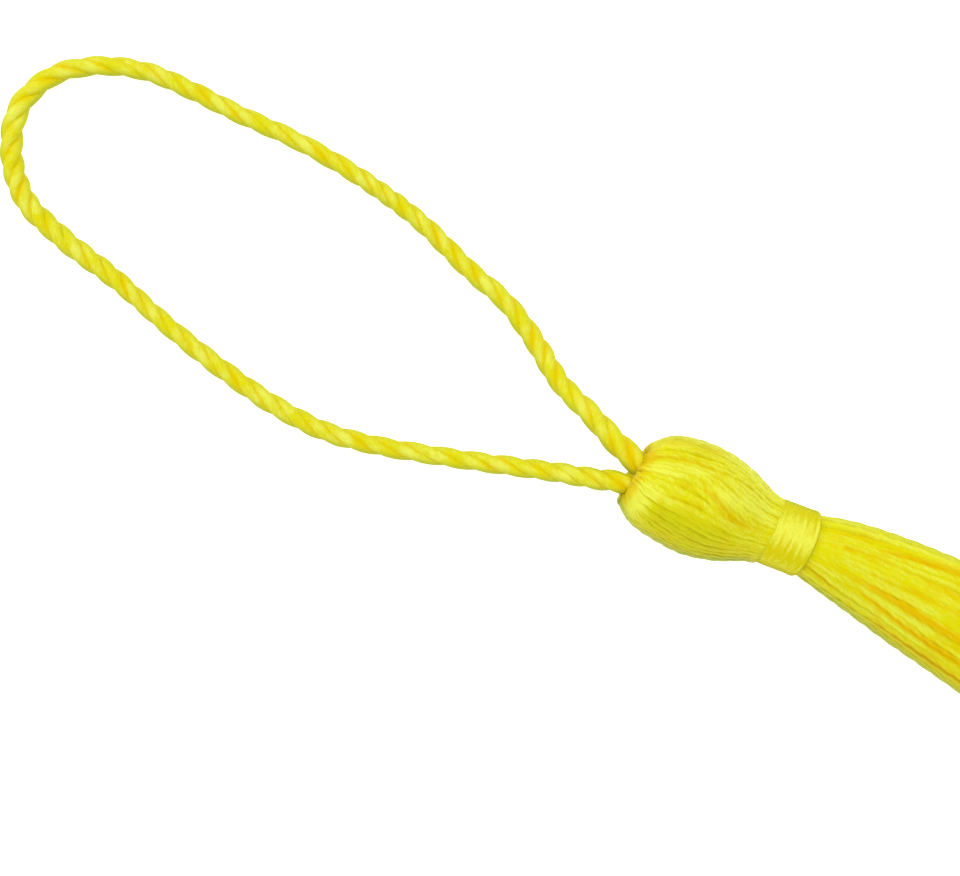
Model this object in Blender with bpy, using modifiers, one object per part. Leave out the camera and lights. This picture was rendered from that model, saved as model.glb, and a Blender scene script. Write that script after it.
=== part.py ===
"""Silk tassel with a hanging loop, lying on its side.

A hank of silk thread is folded over a twisted cord, which makes the head, and is bound at the
neck. Below the neck the threads spread into the skirt. Metres, +Z up. +X runs from the head to
the skirt's cut end, and the loop lies on the -X side. The origin is at the bottom centre of the
yarn's box, on the surface that the tassel lies on.
"""

import math
from collections import namedtuple

import bmesh
import bpy
import numpy as np
from mathutils import Vector

MM = 0.001

# Driving dimensions, in millimetres. A station is the distance along X from the head's lip.
BODY_LENGTH = 78.0
LIP_X = -BODY_LENGTH / 2
YARN_GAP = 0.3

RECESS_HEIGHT = 5.3
BINDING_START = 14.75
BINDING_WIDTH = 4.45
BINDING_RADIUS = 3.48
BINDING_THICKNESS = 0.35
BINDING_EDGE = 0.12
GROOVE_WALL = 0.15
WAIST_RADIUS = BINDING_RADIUS - BINDING_THICKNESS - YARN_GAP
WAIST_HEIGHT = 4.75

CORD_DIAMETER = 1.8
CORD_POINTS = 44
ROUTE_SAMPLES = 2000

YARN_SIDES = 60
BINDING_SIDES = 48

# The outline in which the yarn lies: how far its middle is off the X axis, its half width, and
# the heights of its underside and top. What would be under the surface is pressed flat on it.
Section = namedtuple("Section", "station side half_width bottom top")
SECTIONS = [
    Section(0.0, 0.72, 2.82, 3.40, 7.20),
    Section(0.4, 0.66, 3.32, 2.30, 8.20),
    Section(1.0, 0.68, 3.85, 1.60, 9.00),
    Section(1.8, 0.82, 4.52, 0.90, 9.60),
    Section(2.6, 0.93, 4.94, 0.50, 9.95),
    Section(3.8, 1.04, 5.30, 0.10, 10.30),
    Section(5.6, 1.16, 5.58, -0.20, 10.50),
    Section(7.4, 1.20, 5.70, -0.28, 10.55),
    Section(9.2, 1.28, 5.48, -0.12, 10.40),
    Section(11.0, 1.38, 4.95, 0.42, 9.90),
    Section(12.8, 1.46, 4.18, 1.05, 9.15),
    Section(14.3, 1.54, 3.52, 1.50, 8.40),
    Section(17.0, 1.80, 3.30, 1.50, 7.95),
    Section(19.6, 1.98, 3.40, 1.25, 7.80),
    Section(21.0, 2.07, 3.66, 0.90, 7.85),
    Section(22.8, 2.13, 4.00, 0.45, 7.80),
    Section(25.2, 2.13, 4.40, 0.00, 7.60),
    Section(28.6, 2.02, 4.88, -0.35, 7.30),
    Section(33.0, 1.77, 5.42, -0.55, 6.95),
    Section(40.0, 1.36, 6.14, -0.70, 6.50),
    Section(50.0, 0.78, 7.25, -0.80, 6.05),
    Section(60.0, 0.32, 8.35, -0.80, 5.70),
    Section(70.0, 0.06, 9.30, -0.75, 5.40),
    Section(78.0, 0.00, 9.95, -0.70, 5.20),
]

# The recess that the cord's two legs sit in, from its floor out to the lip.
RecessRing = namedtuple("RecessRing", "depth half_width half_height")
RECESS = [
    RecessRing(3.95, 1.80, 1.00),
    RecessRing(3.75, 2.38, 1.50),
    RecessRing(1.60, 2.46, 1.58),
    RecessRing(0.60, 2.52, 1.63),
    RecessRing(0.15, 2.64, 1.72),
]

# The creases between the main locks. Angles are in degrees round the yarn, 0 at the +Y side and
# 90 on top, and a crease runs evenly from its first angle to its last.
Crease = namedtuple("Crease", "start end first_angle last_angle depth spread")
CREASES = [
    Crease(1.6, 9.6, 64.0, 52.0, 0.45, 9.0),
    Crease(3.6, 14.2, 74.0, 104.0, 0.50, 8.0),
    Crease(2.2, 12.5, 14.0, 20.0, 0.25, 9.0),
    Crease(2.4, 13.0, 138.0, 141.0, 0.30, 10.0),
    Crease(2.0, 12.0, 176.0, 172.0, 0.25, 9.0),
    Crease(20.5, 78.0, 24.0, 20.0, 0.35, 7.0),
    Crease(21.0, 78.0, 51.0, 46.0, 0.55, 6.5),
    Crease(21.5, 78.0, 72.0, 68.0, 0.35, 6.0),
    Crease(28.0, 78.0, 86.0, 87.0, 0.25, 5.5),
    Crease(20.5, 78.0, 97.0, 107.0, 0.60, 6.5),
    Crease(22.0, 78.0, 118.0, 127.0, 0.70, 6.0),
    Crease(26.0, 78.0, 146.0, 143.0, 0.45, 7.0),
    Crease(21.0, 78.0, 166.0, 163.0, 0.35, 7.0),
]
CREASE_FADE = 3.0
CREASE_OPENING = 0.9

# The cut end is uneven: waves round it, each with a count, a depth and a phase in degrees.
EndWave = namedtuple("EndWave", "count depth phase")
END_WAVES = [EndWave(3, 0.6, 40.0), EndWave(5, 0.4, 115.0)]
END_DISH = 0.4
END_DISH_SCALE = 0.7

# Where the rings of the yarn stand. The binding's groove has its own. The yarn's heading is
# taken over a short reach each way, and comes in gradually from the square lip.
HEAD_STATIONS = [0.0, 0.25, 0.6, 1.1, 1.8, 2.6, 3.5, 4.5, 5.6, 6.7, 7.8, 8.9, 10.0, 11.1, 12.2, 13.3]
SKIRT_STEPS = 22
SKIRT_STEP_GROWTH = 1.05
HEADING_REACH = 2.0
SQUARE_UNTIL = 6.0

# The cord's middle line, from one end in the recess round the loop to the other end.
RoutePoint = namedtuple("RoutePoint", "x y z")
ROUTE = [
    RoutePoint(-35.7, 1.80, 5.30),
    RoutePoint(-38.0, 1.80, 5.30),
    RoutePoint(-40.2, 2.32, 5.26),
    RoutePoint(-42.4, 3.10, 5.05),
    RoutePoint(-44.8, 4.10, 4.55),
    RoutePoint(-49.25, 5.80, 2.90),
    RoutePoint(-53.15, 8.35, 1.55),
    RoutePoint(-57.5, 10.65, 1.05),
    RoutePoint(-62.3, 12.00, 0.92),
    RoutePoint(-69.2, 14.30, 0.92),
    RoutePoint(-76.3, 15.60, 0.92),
    RoutePoint(-83.6, 16.15, 0.92),
    RoutePoint(-90.8, 16.00, 0.92),
    RoutePoint(-95.7, 16.05, 0.92),
    RoutePoint(-100.4, 15.80, 0.92),
    RoutePoint(-105.1, 14.25, 0.92),
    RoutePoint(-108.95, 11.30, 0.92),
    RoutePoint(-110.65, 6.90, 0.92),
    RoutePoint(-109.25, 2.20, 0.92),
    RoutePoint(-106.0, -1.30, 0.92),
    RoutePoint(-101.4, -3.00, 0.92),
    RoutePoint(-94.2, -4.55, 0.92),
    RoutePoint(-87.2, -6.50, 0.92),
    RoutePoint(-80.2, -8.05, 0.92),
    RoutePoint(-73.0, -9.05, 0.92),
    RoutePoint(-68.1, -9.05, 0.92),
    RoutePoint(-63.4, -8.15, 0.92),
    RoutePoint(-58.7, -6.80, 1.02),
    RoutePoint(-54.1, -5.35, 1.55),
    RoutePoint(-49.6, -3.85, 2.90),
    RoutePoint(-44.9, -2.30, 4.55),
    RoutePoint(-42.4, -1.58, 5.05),
    RoutePoint(-40.2, -0.86, 5.26),
    RoutePoint(-38.0, -0.30, 5.30),
    RoutePoint(-35.7, -0.30, 5.30),
]


def clear_scene():
    for thing in list(bpy.data.objects):
        bpy.data.objects.remove(thing)


def silk(name, colour, roughness):
    material = bpy.data.materials.new(name)
    material.use_nodes = True
    shader = material.node_tree.nodes["Principled BSDF"]
    shader.inputs["Base Color"].default_value = (*colour, 1.0)
    shader.inputs["Roughness"].default_value = roughness
    shader.inputs["Metallic"].default_value = 0.0
    material.diffuse_color = (*colour, 1.0)
    return material


def curve_through(knots, values, at):
    """The smooth curve through rows of values at rising knots, read at each place in at."""
    slopes = np.gradient(values, knots, axis=0)
    first = np.clip(np.searchsorted(knots, at, side="right") - 1, 0, len(knots) - 2)
    span = (knots[first + 1] - knots[first])[:, None]
    t = (at - knots[first])[:, None] / span
    return (
        values[first] * (1 + 2 * t) * (1 - t) ** 2
        + values[first + 1] * (3 - 2 * t) * t**2
        + slopes[first] * span * t * (1 - t) ** 2
        - slopes[first + 1] * span * t**2 * (1 - t)
    )


def section_at(station):
    rows = np.array(SECTIONS)
    return Section(*curve_through(rows[:, 0], rows, np.array([station]))[0])


def heading_at(station):
    """The angle of the yarn's middle line off the X axis. The lip stands square to X."""
    ahead = section_at(min(station + HEADING_REACH, BODY_LENGTH)).side
    behind = section_at(max(station - HEADING_REACH, 0.0)).side
    return math.atan((ahead - behind) / (2 * HEADING_REACH)) * min(station / SQUARE_UNTIL, 1.0)


def fade(distance, over):
    t = min(max(distance / over, 0.0), 1.0)
    return t * t * (3 - 2 * t)


def crease_depth(station, angle):
    total = 0.0
    for crease in CREASES:
        along = (station - crease.start) / (crease.end - crease.start)
        if not 0 <= along <= 1:
            continue
        middle = crease.first_angle + along * (crease.last_angle - crease.first_angle)
        off = (math.degrees(angle) - middle + 180) % 360 - 180
        opening = fade(station - crease.start, CREASE_FADE)
        if crease.end < BODY_LENGTH:
            opening *= fade(crease.end - station, CREASE_FADE)
        else:
            opening *= 1 + CREASE_OPENING * along
        total += crease.depth * opening * math.exp(-((off / crease.spread) ** 2))
    return total


def ring_points(station, middle, half_width, half_height, shift_of=lambda angle: 0.0):
    """A ring round the yarn, pressed flat where it would be under the surface."""
    side, height = middle
    heading = heading_at(station)
    points = []
    for i in range(YARN_SIDES):
        angle = 2 * math.pi * i / YARN_SIDES
        across = half_width * math.cos(angle)
        up = half_height * math.sin(angle)
        keep = 1 - crease_depth(station, angle) / math.hypot(across, up)
        x = LIP_X + station + shift_of(angle) - across * keep * math.sin(heading)
        y = side + across * keep * math.cos(heading)
        points.append(Vector((x, y, max(height + up * keep, 0.0))) * MM)
    return points


def recess_ring(row):
    middle = (SECTIONS[0].side, RECESS_HEIGHT)
    return ring_points(0.0, middle, row.half_width, row.half_height, lambda angle: row.depth)


def yarn_ring(station, shift_of=lambda angle: 0.0, scale=1.0):
    row = section_at(station)
    middle = (row.side, (row.top + row.bottom) / 2)
    half_height = (row.top - row.bottom) / 2
    return ring_points(station, middle, row.half_width * scale, half_height * scale, shift_of)


def waist_ring(station):
    middle = (section_at(station).side, WAIST_HEIGHT)
    return ring_points(station, middle, WAIST_RADIUS, WAIST_RADIUS)


def end_shift(angle):
    """How far the cut end falls short of the full length at an angle round it."""
    return -sum(
        wave.depth * (1 - math.cos(wave.count * angle + math.radians(wave.phase))) / 2
        for wave in END_WAVES
    )


def skirt_stations(start):
    """Stations from the groove to the cut end, each step a little longer than the last."""
    steps = [SKIRT_STEP_GROWTH**i for i in range(SKIRT_STEPS)]
    reach = np.cumsum(steps) / sum(steps) * (BODY_LENGTH - start)
    return [start + far for far in reach]


def yarn_rings():
    groove_start = BINDING_START - YARN_GAP
    groove_end = BINDING_START + BINDING_WIDTH + YARN_GAP
    rings = [recess_ring(row) for row in RECESS]
    rings += [yarn_ring(station) for station in HEAD_STATIONS]
    rings.append(yarn_ring(groove_start - GROOVE_WALL))
    rings += [waist_ring(station) for station in (groove_start, groove_end)]
    rings.append(yarn_ring(groove_end + GROOVE_WALL))
    stations = skirt_stations(groove_end + GROOVE_WALL)
    rings += [yarn_ring(station) for station in stations[:-1]]
    rings.append(yarn_ring(BODY_LENGTH, end_shift))
    rings.append(yarn_ring(BODY_LENGTH, lambda angle: end_shift(angle) - END_DISH, END_DISH_SCALE))
    return rings


def make_yarn_bundle(collection, material):
    """The folded hank: recess, head, waist and skirt, lofted through its rings."""
    rings = yarn_rings()
    mesh = bmesh.new()
    loops = [[mesh.verts.new(point) for point in ring] for ring in rings]
    for inner, outer in zip(loops, loops[1:]):
        for i in range(YARN_SIDES):
            j = (i + 1) % YARN_SIDES
            mesh.faces.new((inner[j], inner[i], outer[i], outer[j]))
    for loop, turned in ((loops[0], False), (loops[-1], True)):
        centre = mesh.verts.new(sum((vertex.co for vertex in loop), Vector()) / YARN_SIDES)
        for i in range(YARN_SIDES):
            j = (i + 1) % YARN_SIDES
            corners = (loop[j], loop[i], centre) if turned else (loop[i], loop[j], centre)
            mesh.faces.new(corners)
    bmesh.ops.recalc_face_normals(mesh, faces=mesh.faces)
    data = bpy.data.meshes.new("yarn_bundle")
    mesh.to_mesh(data)
    mesh.free()
    data.shade_smooth()
    return place("yarn_bundle", data, collection, material)


def make_neck_binding(collection, material):
    """The wound band: its section turned round the waist, square to the yarn's middle line."""
    inner, outer, bevel = BINDING_RADIUS - BINDING_THICKNESS, BINDING_RADIUS, BINDING_EDGE
    half = BINDING_WIDTH / 2
    profile = [
        (outer, half - bevel),
        (outer, bevel - half),
        (outer - bevel, -half),
        (inner, -half),
        (inner, half),
        (outer - bevel, half),
    ]
    data = bpy.data.meshes.new("neck_binding")
    points = [(radius * MM, 0.0, along * MM) for radius, along in profile]
    data.from_pydata(points, [(i, (i + 1) % len(points)) for i in range(len(points))], [])
    band = place("neck_binding", data, collection, material)
    screw = band.modifiers.new("turned", "SCREW")
    screw.axis = "Z"
    screw.angle = 2 * math.pi
    screw.steps = screw.render_steps = BINDING_SIDES
    screw.use_merge_vertices = True
    screw.merge_threshold = 0.00001
    middle = BINDING_START + BINDING_WIDTH / 2
    band.location = Vector((LIP_X + middle, section_at(middle).side, WAIST_HEIGHT)) * MM
    band.rotation_euler = (0.0, math.pi / 2, heading_at(middle))
    return band


def run_along(points):
    """The distance from the first point to each point."""
    steps = np.linalg.norm(np.diff(points, axis=0), axis=1)
    return np.concatenate([[0.0], np.cumsum(steps)])


def route_points():
    """Evenly spaced points on the smooth curve through the route, in metres."""
    rows = np.array(ROUTE)
    knots = run_along(rows)
    fine = curve_through(knots, rows, np.linspace(0.0, knots[-1], ROUTE_SAMPLES))
    run = run_along(fine)
    even = np.linspace(0.0, run[-1], CORD_POINTS)
    return np.stack([np.interp(even, run, column) for column in fine.T], axis=1) * MM


def make_hanging_cord(collection, material):
    points = route_points()
    data = bpy.data.curves.new("hanging_cord", "CURVE")
    data.dimensions = "3D"
    data.bevel_depth = CORD_DIAMETER / 2 * MM
    data.bevel_resolution = 2
    data.use_fill_caps = True
    spline = data.splines.new("POLY")
    spline.points.add(len(points) - 1)
    for point, place_of in zip(spline.points, points):
        point.co = (*place_of, 1.0)
    return place("hanging_cord", data, collection, material)


def place(name, data, collection, material):
    thing = bpy.data.objects.new(name, data)
    data.materials.append(material)
    collection.objects.link(thing)
    return thing


def main():
    clear_scene()
    collection = bpy.data.collections.new("silk_tassel")
    bpy.context.scene.collection.children.link(collection)
    make_yarn_bundle(collection, silk("silk_yarn", (0.77, 0.70, 0.035), 0.45))
    make_neck_binding(collection, silk("silk_binding", (0.80, 0.74, 0.045), 0.38))
    make_hanging_cord(collection, silk("silk_cord", (0.77, 0.71, 0.035), 0.42))


main()
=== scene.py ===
"""Silk tassel with a hanging loop, lying on its side on a plain pale surface.

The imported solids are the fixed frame. This script gives them their silk: a three-ply hanging
cord, the two-ply threads that are folded over it, and the fine winding that binds the neck.
"""

import math
import random

import bpy
import numpy as np
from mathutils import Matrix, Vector
from mathutils.bvhtree import BVHTree
from numpy.linalg import norm


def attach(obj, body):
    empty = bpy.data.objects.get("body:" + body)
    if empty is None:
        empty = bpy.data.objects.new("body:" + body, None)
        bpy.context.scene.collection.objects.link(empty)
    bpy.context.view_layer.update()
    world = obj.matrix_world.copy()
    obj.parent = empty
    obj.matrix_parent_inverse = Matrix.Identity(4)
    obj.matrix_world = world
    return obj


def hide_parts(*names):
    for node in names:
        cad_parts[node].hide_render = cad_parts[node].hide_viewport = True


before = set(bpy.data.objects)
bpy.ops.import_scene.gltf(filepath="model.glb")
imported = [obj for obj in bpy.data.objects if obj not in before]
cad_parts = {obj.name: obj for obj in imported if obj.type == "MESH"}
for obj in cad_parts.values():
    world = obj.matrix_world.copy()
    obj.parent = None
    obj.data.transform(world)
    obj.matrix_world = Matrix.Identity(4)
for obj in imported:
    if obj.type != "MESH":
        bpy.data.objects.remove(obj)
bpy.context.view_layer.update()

# -------- The studio
# A matt white sheet under a large soft lamp, with a weaker one low on the left. The camera looks
# straight down from about 30 cm, and is turned so that the tassel lies slantwise in its view.
MM = 0.001
CAMERA_PLACE = (-54 * MM, -2.8 * MM, 305 * MM)
CAMERA_TURN = math.radians(26)
CAMERA_LENS = 112.5
LAMPS_AIM = (-0.03, 0, 0)
ROOM_LIGHT = 0.5
SHEET_HALF = 1.5
SHEET_GREY = (0.85, 0.85, 0.85, 1)
SHEET_GLOW = 0.8
WHITE = (1, 1, 1, 1)


def placed(name, data):
    """A new object in the scene."""
    thing = bpy.data.objects.new(name, data)
    bpy.context.scene.collection.objects.link(thing)
    return thing


def fill(node, values):
    """Gives inputs of a node, by name, their values."""
    for label, value in values.items():
        node.inputs[label].default_value = value


camera = placed("camera", bpy.data.cameras.new("camera"))
camera.data.lens = CAMERA_LENS
camera.data.clip_start = 0.01
camera.location = CAMERA_PLACE
camera.rotation_euler = (0, 0, CAMERA_TURN)
bpy.context.scene.camera = camera
bpy.context.scene.view_settings.view_transform = "Standard"


def softbox(name, place, size, watts):
    """A round soft lamp, turned to the tassel."""
    lamp = bpy.data.lights.new(name, "AREA")
    lamp.shape = "DISK"
    lamp.size = size
    lamp.energy = watts
    thing = placed(name, lamp)
    thing.location = place
    thing.rotation_euler = (Vector(LAMPS_AIM) - Vector(place)).to_track_quat("-Z", "Y").to_euler()


softbox("key_lamp", place=(-0.12, 0.2, 0.85), size=0.45, watts=4)
softbox("side_lamp", place=(-0.55, -0.1, 0.45), size=0.3, watts=0.7)

world = bpy.data.worlds.new("studio")
bpy.context.scene.world = world
world.use_nodes = True
fill(world.node_tree.nodes["Background"], {"Color": WHITE, "Strength": ROOM_LIGHT})

sheet = bpy.data.meshes.new("white_sheet")
corners = [(x * SHEET_HALF, y * SHEET_HALF, 0) for x, y in ((-1, -1), (1, -1), (1, 1), (-1, 1))]
sheet.from_pydata(corners, [], [(0, 1, 2, 3)])
floor_paint = bpy.data.materials.new("white_sheet")
floor_paint.use_nodes = True
floor_look = {"Base Color": SHEET_GREY, "Roughness": 0.9, "Specular IOR Level": 0}
floor_look |= {"Emission Color": WHITE, "Emission Strength": SHEET_GLOW}
fill(floor_paint.node_tree.nodes["Principled BSDF"], floor_look)
sheet.materials.append(floor_paint)
floor = placed("white_sheet", sheet)


# -------- The hanging cord
# One length of silk cord laid from three plies with a Z twist, about 1.9 mm thick. Both of its
# ends go into the head's recess, side by side, and the loop between them lies on the surface.
class Wire:
    """An output socket in a node tree. Arithmetic on wires adds the tree's own Math nodes."""

    def __init__(self, tree, socket=None):
        self.tree = tree
        self.socket = socket

    def node(self, kind, sockets={}, out=0, **settings):
        """A new node. out is the output that is wanted, by index or identifier like the sockets."""
        made = self.tree.nodes.new(kind)
        for name, value in settings.items():
            setattr(made, name, value)
        by_name = {socket.identifier: socket for socket in made.inputs}
        for name, value in sockets.items():
            socket = made.inputs[name] if isinstance(name, int) else by_name[name]
            if isinstance(value, Wire):
                self.tree.links.new(value.socket, socket)
            else:
                socket.default_value = value
        found = {socket.identifier: socket for socket in made.outputs}
        return Wire(self.tree, made.outputs[out] if isinstance(out, int) else found[out])

    def math(self, operation, *values):
        return self.node("ShaderNodeMath", dict(enumerate(values)), operation=operation)

    def __add__(self, other):
        return self.math("ADD", self, other)

    __radd__ = __add__

    def __sub__(self, other):
        return self.math("SUBTRACT", self, other)

    def __rsub__(self, other):
        return self.math("SUBTRACT", other, self)

    def __mul__(self, other):
        return self.math("MULTIPLY", self, other)

    __rmul__ = __mul__

    def __truediv__(self, other):
        return self.math("DIVIDE", self, other)

    def __rtruediv__(self, other):
        return self.math("DIVIDE", other, self)

    def between(self, low, high):
        """0 where this is at low or under, 1 at high or over, and smooth in between."""
        sockets = {"Value": self, 1: low, 2: high}
        return self.node("ShaderNodeMapRange", sockets, interpolation_type="SMOOTHSTEP")

    def mixed(self, first, second):
        """The colour first where this is 0 and second where it is 1."""
        sockets = {"Factor_Float": self, "A_Color": first, "B_Color": second}
        return self.node("ShaderNodeMix", sockets, "Result_Color", data_type="RGBA")

    def split(self):
        """A vector's three numbers, each on its own."""
        first = self.node("ShaderNodeSeparateXYZ", {0: self})
        return [Wire(self.tree, output) for output in first.socket.node.outputs]

    def joined(self, *numbers):
        """A vector from two or three numbers."""
        return self.node("ShaderNodeCombineXYZ", dict(enumerate(numbers)))


TURN = 2 * math.pi
# Painted rim shade, a greener tone where the strands turn under at an outline; and silk tints what it
# reflects.
RIM_SHADE_COLOUR = (0.47, 0.52, 0.03, 1)
GLOSS_TINT = (1, 0.98, 0.08, 1)
BLACK = (0, 0, 0, 1)
SILK_ROUGHNESS = 0.45
FIBRE_HEIGHT = 0.03 * MM


def silk_dye_and_shading(name, tones, filament, groove_share, softness):
    """Dyed silk, with painted light and shade. tones are its crease, shade, body and crown colours:
    the body is the silk's own colour; the crease colour is painted shade in creases and grooves, warm
    like light bounced between strands, and also the golden tone that the silk drifts to in patches;
    the shade colour is painted shade down the strands' sides; the crown colour is a painted highlight
    on their tops. filament is how many fibres lie in a millimetre along a strand and round it.
    groove_share is how much painted crease shade the grooves between plies take. softness is how far
    light between strands evens their shading, and how much painted glow their valleys get."""
    dye = bpy.data.materials.new(name)
    dye.use_nodes = True
    start = Wire(dye.node_tree)
    shader = dye.node_tree.nodes["Principled BSDF"]

    def carried(label, out="Fac"):
        return start.node("ShaderNodeAttribute", out=out, attribute_name=label)

    def streaks(lines_along, lines_round, seed, detail):
        """Noise that is drawn out along a strand, and is different on each."""
        place = start.joined(along * (lines_along / MM), turned * lines_round, side * lines_round)
        sockets = {"Vector": place, "W": tone * seed, "Detail": detail}
        return start.node("ShaderNodeTexNoise", sockets, noise_dimensions="4D")

    labels = ("along", "tone", "crown", "groove", "crease", "sheen")
    along, tone, crown, groove, crease, sheen = map(carried, labels)
    turned, side, _ = carried("around", "Vector").split()
    fibres = streaks(*filament, 37, 3)
    fine = (fibres - 0.5) * 2
    broad = (streaks(0.5, 0.9, 11, 1) - 0.5) * 2
    # Painted shade down a strand's side and in the grooves between its plies, a painted highlight
    # where its top would catch the light, and painted shade deep in a crease. Fibres shift all three, so
    # that none of them ends in a clean line.
    valley_shade = (1 - crown + groove * 0.25 + fine * 0.2 - broad * 0.4).between(0.2, 1.05)
    painted_highlight = 0.47 - groove * 0.2 + fine * 0.3 + broad * 0.85 + (tone - 0.5) * 0.15 + sheen
    painted_highlight = painted_highlight.between(0, 1) * crown.between(0.45, 0.96)
    crease_shade = (crease * (valley_shade * 0.3 + 0.85) + groove * groove_share + fine * 0.2).between(0.15, 1)
    # Over a few millimetres the dye also drifts to the golden side and back.
    whole = start.node("ShaderNodeTexCoord", out="Object")
    patches = start.node("ShaderNodeTexNoise", {"Vector": whole, "Scale": 0.45 / MM, "Detail": 1})
    golden = (patches + fine * 0.05 - sheen * 0.1).between(0.45, 0.75) * 0.3
    # deep and shade are painted shade colours (deep also the golden drift), pale a painted highlight; body
    # is the silk's own colour.
    deep, shade, body, pale = ((*rgb, 1) for rgb in tones)
    colour = golden.mixed(painted_highlight.mixed(body, pale), deep)
    colour = crease_shade.mixed(valley_shade.mixed(colour, shade), deep)
    # Painted rim shade, from the edge that the points carry.
    colour = carried("edge").mixed(colour, RIM_SHADE_COLOUR)
    rough = SILK_ROUGHNESS + fine * 0.08 + valley_shade * 0.2
    facing = start.node("ShaderNodeNewGeometry", out="Normal")
    sockets = {"Factor_Float": softness, "A_Vector": facing, "B_Vector": carried("outward", "Vector")}
    lean = start.node("ShaderNodeMix", sockets, "Result_Vector", data_type="VECTOR")
    evened = start.node("ShaderNodeVectorMath", {0: lean}, operation="NORMALIZE")
    sockets = {"Strength": 0.25, "Distance": FIBRE_HEIGHT, "Height": fibres, "Normal": evened}
    bump = start.node("ShaderNodeBump", sockets)
    # Painted light: a glow in the valleys with the shade colour, standing in for light that spreads from
    # strand to strand.
    painted_valley_light = (valley_shade * (1 - crease_shade) * softness).mixed(BLACK, shade)
    varied = {"Base Color": colour, "Roughness": rough, "Normal": bump, "Emission Color": painted_valley_light}
    for label, wire in varied.items():
        dye.node_tree.links.new(wire.socket, shader.inputs[label])
    fill(shader, {"Emission Strength": 0.25, "IOR": 1.3})
    fill(shader, {"Specular IOR Level": 0.3, "Specular Tint": GLOSS_TINT})
    return dye


def strand_recipe(name, upright):
    """Strands of round plies twisted together, swept along the guide lines of a mesh. The plies'
    own twist is added to the turn that the guides carry. upright is how a turn is measured: Z_UP
    from the top, or MINIMUM_TWIST."""
    tree = bpy.data.node_groups.new(name, "GeometryNodeTree")
    tree.interface.new_socket("Geometry", in_out="OUTPUT", socket_type="NodeSocketGeometry")
    inputs = {"Geometry": "Geometry", "Sides": "Int", "Plies": "Int", "Dye and shading": "Material"}
    inputs |= dict.fromkeys(("Ply offset", "Turns per metre", "Ring gap", "Lowest"), "Float")
    for label, kind in inputs.items():
        tree.interface.new_socket(label, in_out="INPUT", socket_type="NodeSocket" + kind)
    entry = tree.nodes.new("NodeGroupInput")
    given = {socket.name: Wire(tree, socket) for socket in entry.outputs}
    start = Wire(tree)

    def carried(label, kind="FLOAT"):
        return start.node("GeometryNodeInputNamedAttribute", {"Name": label}, data_type=kind)

    def keep(geometry, label, value, kind="FLOAT"):
        sockets = {"Geometry": geometry, "Name": label, "Value": value}
        return start.node("GeometryNodeStoreNamedAttribute", sockets, data_type=kind, domain="POINT")

    # The profile: a ring whose radius rises over each ply and dips between two plies.
    sides, plies, offset = given["Sides"], given["Plies"], given["Ply offset"]
    angle = start.node("GeometryNodeInputIndex") / sides * TURN
    past = start.math("FRACT", angle * plies / TURN + 0.5) - 0.5
    ply = 1 - offset

    def reach(off):
        """How far out the rim is at an angle off the middle of a ply."""
        across = offset * start.math("SINE", off)
        return offset * start.math("COSINE", off) + start.math("SQRT", ply * ply - across * across)

    radius = reach(past / plies * TURN)
    lowest = reach(math.pi / plies)
    ring = start.node("GeometryNodeCurvePrimitiveCircle", {"Resolution": sides, "Radius": 1})
    round_place = start.joined(start.math("COSINE", angle), start.math("SINE", angle))
    lobed = start.node("ShaderNodeVectorMath", {0: round_place, "Scale": radius}, operation="SCALE")
    profile = start.node("GeometryNodeSetPosition", {"Geometry": ring, "Position": lobed})
    profile = keep(profile, "groove", (1 - radius) / (1 - lowest))
    profile = keep(profile, "around", round_place, "FLOAT_VECTOR")

    # The guides become smooth curves, evenly ringed and turned.
    curve = start.node("GeometryNodeMeshToCurve", {"Mesh": given["Geometry"]})
    curve = start.node("GeometryNodeCurveSplineType", {"Curve": curve}, spline_type="CATMULL_ROM")
    sockets = {"Curve": curve, "Length": given["Ring gap"]}
    curve = start.node("GeometryNodeResampleCurve", sockets, mode="LENGTH")
    length = start.node("GeometryNodeSplineParameter", out="Length")
    curve = keep(curve, "along", length)
    curve = start.node("GeometryNodeSetCurveNormal", {"Curve": curve}, mode=upright)
    twist = carried("turn") + length * given["Turns per metre"] * TURN
    curve = start.node("GeometryNodeSetCurveTilt", {"Curve": curve, "Tilt": twist})
    sockets = {"Curve": curve, "Profile Curve": profile, "Scale": carried("width") / 2, "Fill Caps": True}
    strands = start.node("GeometryNodeCurveToMesh", sockets)

    # What would lie under the surface is pressed flat on it.
    x, y, z = start.node("GeometryNodeInputPosition").split()
    flat = start.joined(x, y, start.math("MAXIMUM", z, given["Lowest"]))
    strands = start.node("GeometryNodeSetPosition", {"Geometry": strands, "Position": flat})
    facing = start.node("GeometryNodeInputNormal")
    sockets = {0: facing, 1: carried("outward", "FLOAT_VECTOR")}
    crown = start.node("ShaderNodeVectorMath", sockets, "Value", operation="DOT_PRODUCT")
    strands = keep(strands, "crown", crown)

    real = start.node("GeometryNodeRealizeInstances", {"Geometry": strands})
    done = start.node("GeometryNodeSetMaterial", {"Geometry": real, "Material": given["Dye and shading"]})
    leave = tree.nodes.new("NodeGroupOutput")
    tree.links.new(done.socket, leave.inputs[0])
    return tree


def give_points(mesh, label, values):
    """Gives each point of a mesh a number, or a vector if each has a row of three."""
    values = np.asarray(values, np.float32)
    kind, field = ("FLOAT_VECTOR", "vector") if values.ndim == 2 else ("FLOAT", "value")
    held = mesh.attributes.get(label) or mesh.attributes.new(label, kind, "POINT")
    held.data.foreach_set(field, values.ravel())


def read_points(mesh, label, parts):
    """What each point of a mesh carries, with a row for each if it has several parts."""
    source = mesh.attributes[label].data
    values = np.zeros(len(source) * parts)
    source.foreach_get("vector" if parts > 1 else "value", values)
    return values.reshape(-1, parts) if parts > 1 else values


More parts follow.
